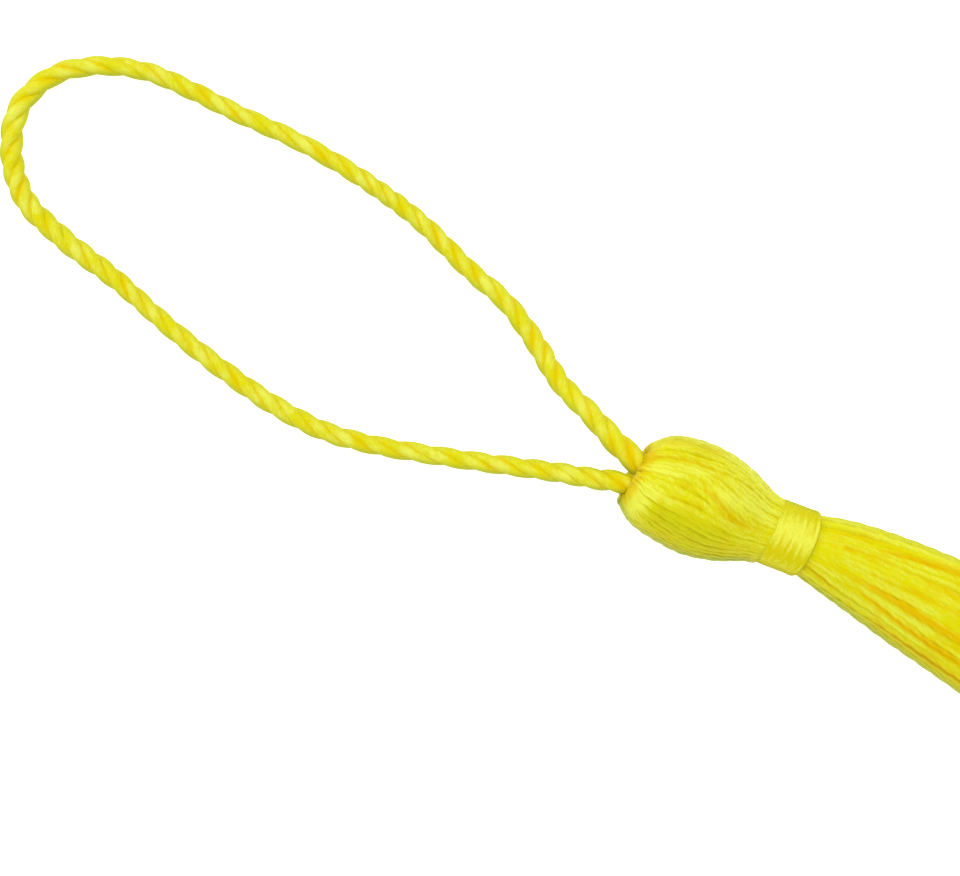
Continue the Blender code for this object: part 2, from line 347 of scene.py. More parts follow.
def spun(name, strands, tree, values):
    """The strands that a tree makes, as a plain mesh object. Each strand has its guide line, and
    what the line carries: one value for all of it, or one for each point."""
    lines = [strand["line"] for strand in strands]
    points = np.concatenate(lines)
    ends = np.cumsum([len(line) for line in lines])
    edges = [(i, i + 1) for i in range(len(points) - 1) if i + 1 not in ends]
    guides = bpy.data.meshes.new(name + "_guides")
    guides.from_pydata(points.tolist(), edges, [])
    for label in ("width", "turn", "tone", "crease", "sheen", "outward"):
        axes = 2 if label == "outward" else 1
        rows = [np.broadcast_to(strand[label], strand["line"].shape[:axes]) for strand in strands]
        give_points(guides, label, np.concatenate(rows))
    source = placed(name + "_guides", guides)
    work = source.modifiers.new("work", "NODES")
    work.node_group = tree
    for item in tree.interface.items_tree:
        if item.name in values:
            work[item.identifier] = values[item.name]
    evaluated = source.evaluated_get(bpy.context.evaluated_depsgraph_get())
    mesh = bpy.data.meshes.new_from_object(evaluated)
    mesh.name = name
    mesh.shade_smooth()
    bpy.data.objects.remove(source)
    return placed(name, mesh)


# How far in from a piece's outline its painted rim shade reaches.
RIM_SHADE_REACH = 0.36 * MM


def paint_rim_shade(piece, offsets, reach, dim, strengths=(0.45, 1)):
    """Gives a piece's points their edge, the painted rim shade where strands turn under at its outline,
    and dim, the painted shade that they have at least. offsets is how far each point is to the +Y
    side of its middle, and reach is the outline's. strengths is for the +Y side, which faces the large
    lamp, and for the other."""
    inside = np.maximum(reach - np.abs(offsets), 0) / RIM_SHADE_REACH
    strength = np.where(offsets > 0, *strengths) * np.exp(-(inside**2))
    give_points(piece.data, "edge", np.maximum(strength, dim))


def smooth_through(knots, values, at):
    """The smooth curve through values, or rows of them, at rising knots, read at each place."""
    knots, values = np.asarray(knots, float), np.asarray(values, float)
    slopes = np.gradient(values, knots, axis=0)
    first = np.clip(np.searchsorted(knots, at, side="right") - 1, 0, len(knots) - 2)
    span = knots[first + 1] - knots[first]
    t = (at - knots[first]) / span
    if values.ndim == 2:
        span, t = span[:, None], t[:, None]
    return (
        values[first] * (1 + 2 * t) * (1 - t) ** 2
        + values[first + 1] * (3 - 2 * t) * t**2
        + slopes[first] * span * t * (1 - t) ** 2
        - slopes[first + 1] * span * t**2 * (1 - t)
    )


def run_along(points):
    """The distance from the first point to each point."""
    steps = norm(np.diff(points, axis=0), axis=1)
    return np.hstack([[0], np.cumsum(steps)])


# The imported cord's own route in millimetres, from one end in the recess to the other.
CORD_ROUTE = [
    (-35.7, 1.8, 5.3), (-38, 1.8, 5.3), (-40.2, 2.32, 5.26), (-42.4, 3.1, 5.05), (-44.8, 4.1, 4.55),
    (-49.25, 5.8, 2.9), (-53.15, 8.35, 1.55), (-57.5, 10.65, 1.05), (-62.3, 12, 0.92),
    (-69.2, 14.3, 0.92), (-76.3, 15.6, 0.92), (-83.6, 16.15, 0.92), (-90.8, 16, 0.92),
    (-95.7, 16.05, 0.92), (-100.4, 15.8, 0.92), (-105.1, 14.25, 0.92), (-108.95, 11.3, 0.92),
    (-110.65, 6.9, 0.92), (-109.25, 2.2, 0.92), (-106, -1.3, 0.92), (-101.4, -3, 0.92),
    (-94.2, -4.55, 0.92), (-87.2, -6.5, 0.92), (-80.2, -8.05, 0.92), (-73, -9.05, 0.92),
    (-68.1, -9.05, 0.92), (-63.4, -8.15, 0.92), (-58.7, -6.8, 1.02), (-54.1, -5.35, 1.55),
    (-49.6, -3.85, 2.9), (-44.9, -2.3, 4.55), (-42.4, -1.58, 5.05), (-40.2, -0.86, 5.26),
    (-38, -0.3, 5.3), (-35.7, -0.3, 5.3),
]
CORD_STEP = 0.5
# The cord's width over its plies, in millimetres, at distances along it: fuller where it leaves
# the head and round the bend, slimmer where it is drawn straight.
CORD_WIDTHS = [
    (0, 2.6), (5, 2.6), (8, 2.42), (12, 2.26), (20, 2.24), (24, 2.12), (32, 2.05), (40, 1.96), (48, 1.96),
    (56, 1.97), (64, 2.02), (72, 2.06), (76, 2.12), (80, 2.24), (84, 2.42), (88, 2.41), (92, 2.37),
    (100, 2.32), (104, 2.18), (108, 2.02), (116, 2.09), (128, 2.15), (136, 2.07), (148, 2.06),
    (156, 2.14), (161, 2.3), (166, 2.35),
]
# Where the plies have come once more round. The lay is tighter where the cord is slack.
CORD_LAY = (-4, 4.8, 13.3, 20.7, 29.4, 37.5, 43.7, 53.3, 62.4, 70.7, 79.6)
CORD_LAY += (87.7, 94.1, 101.6, 109.3, 118.2, 127.1, 135.5, 145.2, 154.6, 162.2, 170.2)
# The cord's crease, shade, body and crown colours. The crease colour is painted shade in the grooves between
# its plies, the shade colour painted shade down their sides, the crown colour a painted highlight.
CORD_TONES = ((0.76, 0.59, 0), (0.6, 0.57, 0.004), (0.72, 0.685, 0.006), (0.79, 0.82, 0.105))

knots = run_along(CORD_ROUTE)
close_route = smooth_through(knots, CORD_ROUTE, np.linspace(0, knots[-1], 2000))
close_run = run_along(close_route)
even = np.arange(0, close_run[-1], CORD_STEP)
cord_line = np.stack([np.interp(even, close_run, column) for column in close_route.T], axis=1) * MM
# The painted shade in the grooves comes and goes. It is deeper where the cord goes into the head,
# and about 25 mm along. The painted highlight on the plies comes and goes as well.
from_end = np.minimum(even, even[-1] - even)
groove_shade = 0.18 * np.exp(-(((even - 25) / 18) ** 2)) - 0.12
groove_shade += np.interp(from_end, (2.5, 6.5), (0.6, 0))
cord_strand = {
    "line": cord_line,
    "width": smooth_through(*np.array(CORD_WIDTHS).T, even) * MM,
    "turn": smooth_through(CORD_LAY, np.arange(len(CORD_LAY)), even) * TURN,
    "tone": 0.5,
    "crease": groove_shade + 0.18 * np.sin(even * 0.43) + 0.15 * np.sin(even * 1.31 + 1),
    "sheen": 0.2 * np.sin(even * 1.9) + 0.2 * np.sin(even * 0.77),
    "outward": (0, 0, 1),
}
cord_dye_and_shading = silk_dye_and_shading("silk_cord", CORD_TONES, (0.3, 7), 0.85, 0)
cord_make = {"Plies": 3, "Ply offset": 0.36, "Turns per metre": 0.0, "Lowest": 0.02 * MM}
cord_make |= {"Dye and shading": cord_dye_and_shading, "Sides": 96, "Ring gap": 0.25 * MM}
cord = spun("hanging_cord_silk", [cord_strand], strand_recipe("laid_cord", "Z_UP"), cord_make)
cord_run = read_points(cord.data, "along", 1)
places = read_points(cord.data, "position", 3)
centre_run = run_along(cord_line)
beside = [places[:, i] - np.interp(cord_run, centre_run, cord_line[:, i]) for i in (0, 1)]
half_width = np.interp(cord_run / MM, *np.array(CORD_WIDTHS).T) / 2 * MM
# Painted rim shade along the cord's outline.
paint_rim_shade(cord, np.copysign(np.hypot(*beside), beside[1]), half_width, 0)
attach(cord, "root")
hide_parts("hanging_cord")

# -------- The head
# A hank of two-ply silk thread, folded over the cord. The threads come out of the recess, wrap
# over its lip and run side by side down the head until they go under the binding.
yarn_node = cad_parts["yarn_bundle"]
yarn_skin = BVHTree.FromPolygons(
    [vertex.co for vertex in yarn_node.data.vertices],
    [tuple(face.vertices) for face in yarn_node.data.polygons],
)
LIP_X = -39
# Stations along the yarn from its lip, with how far its middle is to the side and how high.
YARN_MIDDLE = [
    (0, 0.72, 5.3), (2.6, 0.93, 5.22), (5.6, 1.16, 5.15), (9.2, 1.28, 5.14), (14.3, 1.54, 4.95),
    (19.6, 1.98, 4.53), (22.8, 2.13, 4.12), (25.2, 2.13, 3.8), (28.6, 2.02, 3.48), (33, 1.77, 3.2),
    (40, 1.36, 2.9), (50, 0.78, 2.63), (60, 0.32, 2.45), (78, 0, 2.25),
]
WELL_OUTSIDE = 20 * MM
SKIN_STEP = 0.4
SKIN_SIDES = 120
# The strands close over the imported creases, and leave this share of their depth.
CREASE_DEPTH = 0.22
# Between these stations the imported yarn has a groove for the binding, which the strands bridge.
NECK = (13.9, 20.2)


def skin_point(middle, toward):
    """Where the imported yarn's outside is in a direction from its middle."""
    found = yarn_skin.ray_cast(middle + toward * WELL_OUTSIDE, -toward)[0]
    return found if found is not None else middle


def smoothed(values, reach, axis, wrapped):
    """Values on a grid, blurred along one axis with a bell of a reach in steps."""
    steps = np.arange(-3 * reach, 3 * reach + 1)
    bell = np.exp(-0.5 * (steps / reach) ** 2)
    width = [(3 * reach,) * 2 if i == axis else (0, 0) for i in range(values.ndim)]
    padded = np.pad(values, width, mode="wrap" if wrapped else "edge")
    count = values.shape[axis]
    parts = [np.take(padded, range(i, i + count), axis) * share for i, share in enumerate(bell / bell.sum())]
    return np.sum(parts, axis=0)


skin_stations = np.arange(0.2, 77, SKIN_STEP)
skin_angles = np.arange(SKIN_SIDES) * TURN / SKIN_SIDES
yarn_middle = np.array(YARN_MIDDLE)
beside_lip = smooth_through(yarn_middle[:, 0], yarn_middle[:, 1:], skin_stations)
middles = np.column_stack([LIP_X + skin_stations, beside_lip]) * MM
skin = np.zeros((len(skin_stations), SKIN_SIDES, 3))
spans = np.zeros((len(skin_stations), 2))
for row, place in enumerate(middles):
    middle = Vector(place)
    left, right, rise = (
        (skin_point(middle, Vector(way)) - middle).length for way in ((0, 1, 0), (0, -1, 0), (0, 0, 1))
    )
    spans[row] = (left + right) / 2, rise
    for column, angle in enumerate(skin_angles):
        toward = Vector((0, spans[row, 0] * math.cos(angle), rise * math.sin(angle))).normalized()
        skin[row, column] = skin_point(middle, toward)
neck = (skin_stations > NECK[0]) & (skin_stations < NECK[1])
radius = norm(skin - middles[:, None], axis=2)
bridged = radius.copy()
for column in [*bridged.T, *spans.T]:
    column[neck] = np.interp(skin_stations[neck], skin_stations[~neck], column[~neck])
closed = (1 - CREASE_DEPTH) * smoothed(bridged, 5, 1, True) + CREASE_DEPTH * bridged
skin = middles[:, None] + (skin - middles[:, None]) * (closed / radius)[:, :, None]
skin = smoothed(skin, 1, 0, False)
skin_facing = np.cross(np.roll(skin, -1, 1) - np.roll(skin, 1, 1), np.gradient(skin, axis=0))
skin_facing /= norm(skin_facing, axis=2)[:, :, None]
girth = np.cumsum(norm(np.roll(skin, -1, 1) - skin, axis=2), axis=1)


def read_grid(grid, stations, angles):
    """The values of a grid over the yarn at stations in millimetres and angles in degrees."""
    down = np.clip((stations - skin_stations[0]) / SKIN_STEP, 0, len(skin_stations) - 1.001)
    over = np.mod(angles, 360) / 360 * SKIN_SIDES
    row, column = down.astype(int), over.astype(int) % SKIN_SIDES
    t, u = (down - row)[:, None], (over - over.astype(int))[:, None]
    after = (column + 1) % SKIN_SIDES
    near = grid[row, column] * (1 - u) + grid[row, after] * u
    far = grid[row + 1, column] * (1 - u) + grid[row + 1, after] * u
    return near * (1 - t) + far * t


def lie_at(lay, share, stations):
    """The angle, at each station, of the thread that lies at a share of the way round. lay has
    places along the yarn, the angles there of each line that the threads follow, and its share."""
    places, table, key = lay
    rows = np.array([np.interp(stations, places, line) for line in table])
    rows = np.vstack([rows[-1] - 360, rows, rows[0] + 360])
    shares = np.hstack([key[-1] - 1, key, key[0] + 1])
    index = np.searchsorted(shares, share) - 1
    t = (share - shares[index]) / (shares[index + 1] - shares[index])
    return rows[index] * (1 - t) + rows[index + 1] * t


def whole_locks(key, count, set_off):
    """The share of the way round of each thread, so that whole threads lie between two lines."""
    lines = np.append(key, key[0] + 1)
    shares = []
    for first, last in zip(lines[:-1], lines[1:]):
        held = round(last * count) - round(first * count)
        shares += [first + (last - first) * (j + 0.5 + set_off) / held for j in range(held)]
    return shares


def wander(draw, stations, wavelength, size):
    """A slow random drift along a thread: three waves, each shorter and smaller than the last."""
    total = np.zeros(len(stations))
    for part in (1, 0.57, 0.31):
        phase = draw.uniform(0, TURN)
        total += part * np.sin(TURN * stations / (wavelength * part) + phase)
    return total * size / 1.3


def round_yarn(stations):
    """The distance round the yarn in millimetres."""
    return np.interp(stations, skin_stations, girth[:, -1]) / MM


# How many threads lie side by side. Each is as wide as it must be to close on its neighbours,
# this many times the gap between their middles, up to the widest that it can be flattened.
THREADS = 64
THREAD_OVERLAP = 1.85
WIDEST_THREAD = 1.3
# How far a thread's own wandering may lift it above the skin.
HIGHEST_RISE = 0.03


def thread_widths(draw, table, lay, share, stations):
    """A thread's width at each station in millimetres, and how wide it must be there to close."""
    widths = smooth_through(*np.array(table).T, stations) * draw.uniform(0.92, 1.08)
    first, last = (lie_at(lay, share + step / THREADS, stations) for step in (-0.5, 0.5))
    room = (last - first) / 360 * round_yarn(stations) * THREAD_OVERLAP
    return np.clip(widths, room, WIDEST_THREAD), room


def thread_level(draw, i):
    """How low a thread lies, from 0 to 1. Every second one is pushed under its neighbours."""
    return draw.uniform(0.6, 1) if i % 2 else draw.uniform(0, 0.25)


def own_look(draw, line):
    """The turn and the tone that each thread has of its own."""
    phase = draw.uniform(0, TURN)
    turn = phase + run_along(line) / MM * draw.uniform(-0.25, 0.25)
    return {"turn": turn, "tone": draw.random()}


def thread_run(stations, angles, widths, depth):
    """A thread's middle points under the skin, and which way the skin faces over each of them."""
    facing = read_grid(skin_facing, stations, angles)
    return read_grid(skin, stations, angles) - facing * ((widths / 2 + depth) * MM)[:, None], facing


def lustre_at(patches, stations, angles):
    """The painted highlight where light would catch the silk, or the painted shade where it wouldn't,
    at places on the yarn. Each patch has a station, an angle, a length, a spread in degrees and a strength."""
    total = np.zeros(len(stations))
    for station, angle, length, spread, strength in patches:
        off = (angles - angle + 180) % 360 - 180
        total += strength * np.exp(-(((stations - station) / length) ** 2) - (off / spread) ** 2)
    return total


def crease_at(creases, stations, angles):
    """How far places on the yarn are down in its creases. A crease has a row for each place along
    it: the station, the angle, its strength from 0 to 1, and its half width in millimetres."""
    total = np.zeros(len(stations))
    for crease in creases:
        places, line, strengths, widths = np.array(crease).T
        off = (angles - np.interp(stations, places, line) + 180) % 360 - 180
        off *= round_yarn(stations) / 360 / np.interp(stations, places, widths)
        total += np.interp(stations, places, strengths) * np.exp(-(off**2))
    return np.clip(total, 0, 1)


# How far the silk's outline is outside the imported yarn's, on the +Y side and on the other, and
# how much of the painted rim shade goes where the painted lustre shade is deepest.
OUTLINE_PROUD = (0.25 * MM, 0.03 * MM)
DEEP_TO_RIM_SHADE = 0.45


def paint_on_yarn(piece, creases, patches, upper_edge):
    """Adds the painted shade of the yarn's creases, and its painted highlights and shade, to what a
    piece's points carry, and paints its rim shade. upper_edge is how strong the painted rim shade
    is on the +Y side."""
    points = read_points(piece.data, "position", 3)
    stations = points[:, 0] / MM - LIP_X
    side, height, half, rise = (
        np.interp(stations, skin_stations, column) for column in np.hstack([middles[:, 1:], spans]).T
    )
    aside = points[:, 1] - side
    angles = np.degrees(np.arctan2((points[:, 2] - height) / rise, aside / half))
    lustre = lustre_at(patches, stations, angles)
    for label, added in {"crease": crease_at(creases, stations, angles), "sheen": lustre}.items():
        give_points(piece.data, label, added + read_points(piece.data, label, 1))
    over = np.where(points[:, 2] > height, aside, np.copysign(half, aside))
    reach = half + np.where(over > 0, *OUTLINE_PROUD)
    paint_rim_shade(piece, over, reach, DEEP_TO_RIM_SHADE * np.clip(-lustre, 0, 1), (upper_edge, 1))


# The lines that the threads follow, as angles round the yarn at each station: 0 is the +Y side,
# 90 the top.
HEAD_PLACES = (0, 2, 4, 5.5, 7, 8.4, 10, 12.5, 14.3)
HEAD_LINES = [
    (20, 14, 14.5, 15.5, 16.5, 17.5, 18.5, 20, 21), (59, 57, 54.5, 53.5, 53.5, 53.5, 53.5, 53, 52.5),
    (76, 75, 72.5, 70.5, 75, 82, 90, 99, 101), (92, 96, 98, 98, 98, 99, 103, 109, 111),
    (112, 131, 136, 138, 139.5, 140, 140, 141, 141), (132, 162, 171, 173, 174, 174, 173, 172, 172),
    (165, 200, 211, 213, 215, 215, 215, 215, 215), (240, 262, 269, 270, 270, 270, 270, 270, 270),
    (325, 325, 325, 325, 325, 325, 325, 325, 325),
]
# How many threads lie between each line and the next, and each line's share of the way round.
HEAD_COUNTS = (7, 7, 4, 7, 6, 7, 8, 9, 9)
head_key = (3 + np.cumsum((0,) + HEAD_COUNTS[:-1])) / THREADS
head_lay = (HEAD_PLACES, HEAD_LINES, head_key)
# The creases between the head's locks, which get painted shade, then its painted highlights and painted
# shade.
HEAD_CREASES = [
    [(0.2, 58, 1, 0.6), (1.4, 57, 0.8, 0.35), (2.4, 56, 0.9, 0.25), (3, 55, 0.7, 0.25), (3.8, 54, 1, 0.28),
     (4.6, 53, 0.8, 0.28), (5.6, 53, 1, 0.3), (6.6, 54, 0.8, 0.28), (7.4, 54.5, 0.4, 0.25),
     (8.6, 53, 0.6, 0.3), (9.7, 54, 0, 0.3)],
    [(5.3, 69, 0, 0.25), (6.5, 72, 0.5, 0.3), (7.2, 79, 0.8, 0.35), (8.4, 82, 1, 0.38),
     (9.4, 88, 0.9, 0.38), (10.1, 90, 0.9, 0.38), (10.9, 95, 1, 0.4), (12.6, 99, 0.5, 0.3),
     (14, 101, 0, 0.3)],
    [(3.2, 82, 0, 0.35), (4.3, 83, 0.4, 0.35), (5.4, 82, 0.8, 0.4), (6.8, 82, 0, 0.3)],
    [(3.9, 99, 0, 0.2), (4.9, 99, 0.8, 0.25), (6.4, 98, 0.3, 0.2), (7.4, 96, 0.8, 0.25),
     (8.6, 95, 0.3, 0.2), (9.6, 95.5, 0.4, 0.2)],
    [(1.6, 35, 0, 0.25), (2.6, 36, 0.4, 0.25), (3.9, 38, 0.4, 0.25), (5, 39, 0, 0.25)],
    [(4.6, 24, 0, 0.3), (5.7, 25, 0.4, 0.3), (8.5, 28, 0.3, 0.3), (10, 30, 0, 0.3)],
    [(1.6, 146, 0, 0.3), (2.4, 141, 0.4, 0.3), (3.4, 140, 0.3, 0.3), (5, 141, 0, 0.3)],
    [(9, 133, 0, 0.3), (10.6, 134, 0.3, 0.3), (13, 138, 0, 0.3)],
]
HEAD_LUSTRE = [
    (2.2, 84, 1.4, 10, -0.35), (2.5, 76, 1.3, 9, 0.9), (3.8, 73, 1, 7, 0.4), (2.1, 107, 1.2, 14, 0.9),
    (2, 123, 0.9, 12, 0.8), (1.5, 145, 1, 12, 0.5), (4.2, 102, 1.4, 4, 0.3), (5.7, 63, 1.8, 6, 0.5),
    (8.9, 77, 1.2, 4, 0.5), (10.3, 78, 1.4, 6, 0.4), (10.1, 104, 2.2, 4, 0.5), (12.2, 109, 1.3, 5, 0.2),
    (13.8, 72, 1, 14, 0.3), (12, 66, 3, 15, 0.6), (11.5, 28, 2.5, 14, 0.6), (6.5, 5, 3.5, 9, 0.5),
    (3.5, 117, 1.3, 5, -0.3), (6.5, 124, 4, 12, -0.5), (9.5, 108, 3, 8, -0.35), (8, 160, 5, 26, -0.65),
    (2.7, 20, 1.2, 6, -0.5), (5.6, 28, 1.2, 5, -0.4), (10.5, 40, 1.5, 4, -0.3),
]
HEAD_STATIONS = np.hstack(
    [[0.55, 0.9, 1.3, 1.8, 2.4, 3.1], np.arange(4, 14), [13.8, 14.4, 14.9, 15.4, 16]]
)
HEAD_WIDTHS = [
    (0, 0.52), (0.6, 0.58), (1.6, 0.7), (3.5, 0.82), (7, 0.86), (11, 0.82), (14.3, 0.7), (18, 0.6),
]
# How far under the skin the threads lie at each station. They stand proud of it over the head,
# and dive under the binding.
HEAD_SINK = ((12.5, 13.7, 14.5, 14.9, 15.8), (-0.16, -0.1, 0.04667, 0.1, 0.6))
RECESS_SIDE, RECESS_RISE = 2.46, 1.58
RECESS_DEPTHS = (3.6, 2.6)
# How far the lip is set back at angles round it, and over how much of the head that dies away.
MOUTH_SETBACK = ((0, 45, 90, 135, 180, 270, 360), (0.6, 0.6, 0.5, 0.4, 0.2, 0, 0.6))
SETBACK_REACH = 2.2
# Painted shade in the mouth shows at the top of the lip, and less to its sides.
MOUTH_SHADE = ((20, 50, 115, 150), (0.1, 0.9, 0.9, 0.1))
# How much the threads ride over one another at angles round the yarn: less on its two flanks.
UNEVEN = ((0, 25, 50, 98, 118, 330, 360), (0.15, 0.15, 1, 1, 0.3, 0.4, 0.15))


def unevenness(angles):
    return np.interp(angles % 360, *UNEVEN)


def head_threads(draw, set_off, deeper, sink):
    """The strands of one layer of the head. set_off moves them round by a share of a thread,
    deeper is how far under the skin the layer is, and sink is painted shade added to its crease."""
    strands = []
    for i, share in enumerate(whole_locks(head_key, THREADS, set_off)):
        share = (share + draw.uniform(-0.2, 0.2) / THREADS) % 1
        mouth = lie_at(head_lay, share, np.zeros(1))[0] % 360
        back = np.interp(mouth, *MOUTH_SETBACK) + draw.uniform(-0.2, 0.2)
        stations = HEAD_STATIONS + back * np.exp(-((HEAD_STATIONS / SETBACK_REACH) ** 2))
        angles = lie_at(head_lay, share, stations)
        angles = angles + wander(draw, stations, 14, 1.6) * np.clip(stations / 5, 0.15, 1)
        widths, room = thread_widths(draw, HEAD_WIDTHS, head_lay, share, stations)
        # The threads ride over one another most near the mouth and where they have little room.
        crowding = np.interp(stations, (0, 5), (0.105, 0.035))
        crowding += 0.18 * np.clip(1.2 - room / 0.65, 0, 1)
        lowered = thread_level(draw, i) * crowding * unevenness(angles) + wander(draw, stations, 9, 0.03)
        depth = np.maximum(deeper + lowered, -HIGHEST_RISE)
        lowered = np.maximum(lowered, 0)
        depth += np.interp(stations, *HEAD_SINK)
        depth += 0.1 * crease_at(HEAD_CREASES, stations, angles)
        points, facing = thread_run(stations, angles, widths, depth)
        # Painted shade where the threads turn over the lip into the mouth.
        mouth_shade = np.interp(mouth, *MOUTH_SHADE)
        crease = mouth_shade * np.exp(-(((stations - back - 0.15) / 0.7) ** 2))
        # Before its first station a thread comes up the recess's wall and turns over the lip.
        across, up = math.cos(math.radians(mouth)), math.sin(math.radians(mouth))
        out = np.array([0, across, up])
        lip = np.array([LIP_X, *YARN_MIDDLE[0][1:]]) + (0, RECESS_SIDE * across, RECESS_RISE * up)
        lip += out * (0.12 + deeper * 0.6)
        onward = np.array([1, 0, 0])
        inner = [lip + onward * inside for inside in (*RECESS_DEPTHS, back + 0.9 + deeper)]
        first_turn = lip + onward * (back + 0.38 + deeper * 0.5) + out * 0.12
        second_turn = first_turn * 0.45 + points[0] / MM * 0.55 - onward * 0.22
        line = np.vstack([np.array([*inner, first_turn, second_turn]) * MM, points])
        strands.append({
            "line": line,
            "width": np.hstack([[widths[0]] * 5, widths]) * MM,
            **own_look(draw, line),
            # Painted shade inside the recess, and on threads pushed under their neighbours, which also lose
            # painted highlight.
            "crease": np.hstack([[1, 1, 1, 0.9, 0.8], sink + 1.2 * lowered + crease]),
            "sheen": np.hstack([[0] * 5, -4 * lowered]),
            "outward": np.vstack([[-out * 0.4 - onward * 0.9] * 4, -onward, facing]),
        })
    return strands


# The head's crease, shade, body and crown colours: painted shade, painted shade, its own colour, a painted
# highlight.
YARN_TONES = ((0.745, 0.545, 0), (0.73, 0.63, 0), (0.735, 0.695, 0.001), (0.84, 0.87, 0.082))
THREAD_FIBRES = (0.45, 6)
yarn_dye_and_shading = silk_dye_and_shading("silk_yarn", YARN_TONES, THREAD_FIBRES, 0.12, 0.85)
thread_recipe = strand_recipe("laid_threads", "MINIMUM_TWIST")
thread_make = {"Plies": 2, "Ply offset": 0.14, "Turns per metre": 340.0, "Lowest": 0.02 * MM}
thread_make["Dye and shading"] = yarn_dye_and_shading
draw = random.Random(41)
# The under layer lies deeper, and gets painted shade.
for name, layer, sides, ring_gap in (
    ("head_threads", (0, 0, 0), 12, 0.17 * MM),
    ("head_under_threads", (0.5, 0.2, 0.2), 8, 0.35 * MM),
):
    make = {**thread_make, "Sides": sides, "Ring gap": ring_gap}
    piece = spun(name, head_threads(draw, *layer), thread_recipe, make)
    paint_on_yarn(piece, HEAD_CREASES, HEAD_LUSTRE, 0.5)
    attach(piece, "root")
    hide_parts("yarn_bundle")

# -------- The skirt
# The same hank below the binding: two-ply silk threads, held only by the winding round the neck,
# that fan out in loose locks with creases between them, and end in a cut that isn't quite even.
SKIRT_PLACES = (20.5, 23, 26, 30, 34, 50, 78)
SKIRT_LINES = [
    (18, 18, 17, 15, 14, 16, 20), (46, 43, 39, 32, 29, 31, 34), (61, 58, 55, 47, 39, 42, 46),
    (76, 71, 69, 68.5, 67, 67, 68), (88, 89, 89, 85, 84, 85, 86), (98, 103, 105.5, 105, 105, 106, 106),
    (115, 118, 119.5, 123.5, 127, 128, 130), (128, 134, 136, 137, 138, 139, 140),
    (149, 151, 152, 150, 150, 149, 148), (168, 167, 166, 165, 164, 163, 163),
]
SKIRT_LINES += [(angle,) * len(SKIRT_PLACES) for angle in (205, 237, 270, 303, 335)]
# The creases between the skirt's locks, which get painted shade, then its painted highlights and painted
# shade.
SKIRT_CREASES = [
    [(20.4, 50, 0.1, 0.25), (22.3, 47, 0.5, 0.25), (25, 40, 0.4, 0.25), (27, 36, 0, 0.25)],
    [(25, 56, 0, 0.2), (26, 55, 0.7, 0.2), (27.1, 53, 0.8, 0.22), (28.7, 47, 1, 0.25),
     (30.7, 45.5, 1, 0.28), (32.2, 42, 0.7, 0.45), (34.1, 39, 0.8, 0.55), (50, 42, 0.9, 0.45),
     (78, 46, 0.9, 0.45)],
    [(21.8, 75, 0, 0.25), (22.4, 73, 0.8, 0.3), (23.5, 70.5, 0.6, 0.25), (25, 70, 0.4, 0.25),
     (26.5, 68, 0.5, 0.25), (28.6, 69, 0.3, 0.25), (34, 67, 0.5, 0.25), (78, 68, 0.8, 0.4)],
    [(25, 89, 0, 0.2), (26, 89, 0.4, 0.2), (29, 87, 0.3, 0.2), (30, 85, 0.8, 0.2), (34, 84, 0.5, 0.2),
     (78, 86, 0.8, 0.3)],
    [(20.5, 97, 0, 0.25), (22.5, 103, 0.4, 0.25), (24, 105, 0.5, 0.25), (27, 105, 0.9, 0.3),
     (31.1, 105, 1, 0.36), (50, 106, 1, 0.45), (78, 106, 1, 0.45)],
    [(23, 118, 0, 0.16), (25.6, 119.5, 0.5, 0.16), (27.1, 121.5, 1.2, 0.17), (28.1, 123.5, 1.7, 0.17),
     (31, 125.5, 1.9, 0.18), (34, 127, 1.7, 0.2), (78, 130, 1.2, 0.25)],
    [(19.8, 126, 0.3, 0.22), (21.1, 131, 0.7, 0.25), (22.1, 133, 1, 0.25), (23.1, 134, 0.5, 0.22),
     (25, 136, 0, 0.22)],
    [(27, 152, 0, 0.4), (28.5, 151, 0.6, 0.45), (34.2, 150, 0.9, 0.5), (78, 148, 0.8, 0.45)],
    [(30, 165, 0, 0.4), (50, 163, 0.6, 0.4), (78, 163, 0.7, 0.4)],
]
SKIRT_LUSTRE = [
    (23.6, 58, 2, 7, 0.35), (27.5, 60, 3, 4, 0.3), (31.6, 57, 2.5, 6, 0.4), (23.7, 88, 1.8, 6, 0.3),
    (27.7, 96, 2.5, 4, 0.4), (32.2, 95, 2, 5, 0.5), (21.2, 118, 1.8, 5, 0.5), (26.3, 113, 1.2, 4, 0.5),
    (29.6, 114, 2.2, 4, 0.5), (32.6, 115, 2, 5, 0.5), (30.7, 134, 4, 5, 0.4), (24.5, 127, 3, 4, 0.3),
    (30, 175, 12, 22, -0.65), (27, 15, 10, 22, 0.35),
]
SKIRT_UNDER_THREADS = 48
SKIRT_END = 78
# Over its last bit a thread turns from its side to its cut face.
CUT_FACE = 0.25 * MM
SKIRT_WIDTHS = [(16, 0.6), (19.4, 0.66), (22, 0.78), (26, 0.88), (31, 0.92), (45, 0.94), (80, 0.94)]
# How far under the skin the threads lie, and how much prouder they stand on the +Y flank.
SKIRT_SINK = ((19.2, 20, 22.5, 30), (0.35, 0, -0.18, -0.22))
FLANK_PROUD = ((24, 29), (0, 0.12))
# There they are wider, and shaded as if they faced more upward.
FLANK_WIDER = 0.15
FLANK_LEAN = 0.5
skirt_stations = np.hstack([[17, 18, 19, 19.8, 20.8], np.arange(22, 76.6, 1.5)])
# Each line's share of the way round is taken at the cut end.
end_places = np.array([line[-1] for line in SKIRT_LINES]) / 360 * SKIN_SIDES
skirt_key = np.interp(end_places, np.arange(SKIN_SIDES) + 1, girth[-1]) / girth[-1, -1]
skirt_lay = (SKIRT_PLACES, SKIRT_LINES, skirt_key)


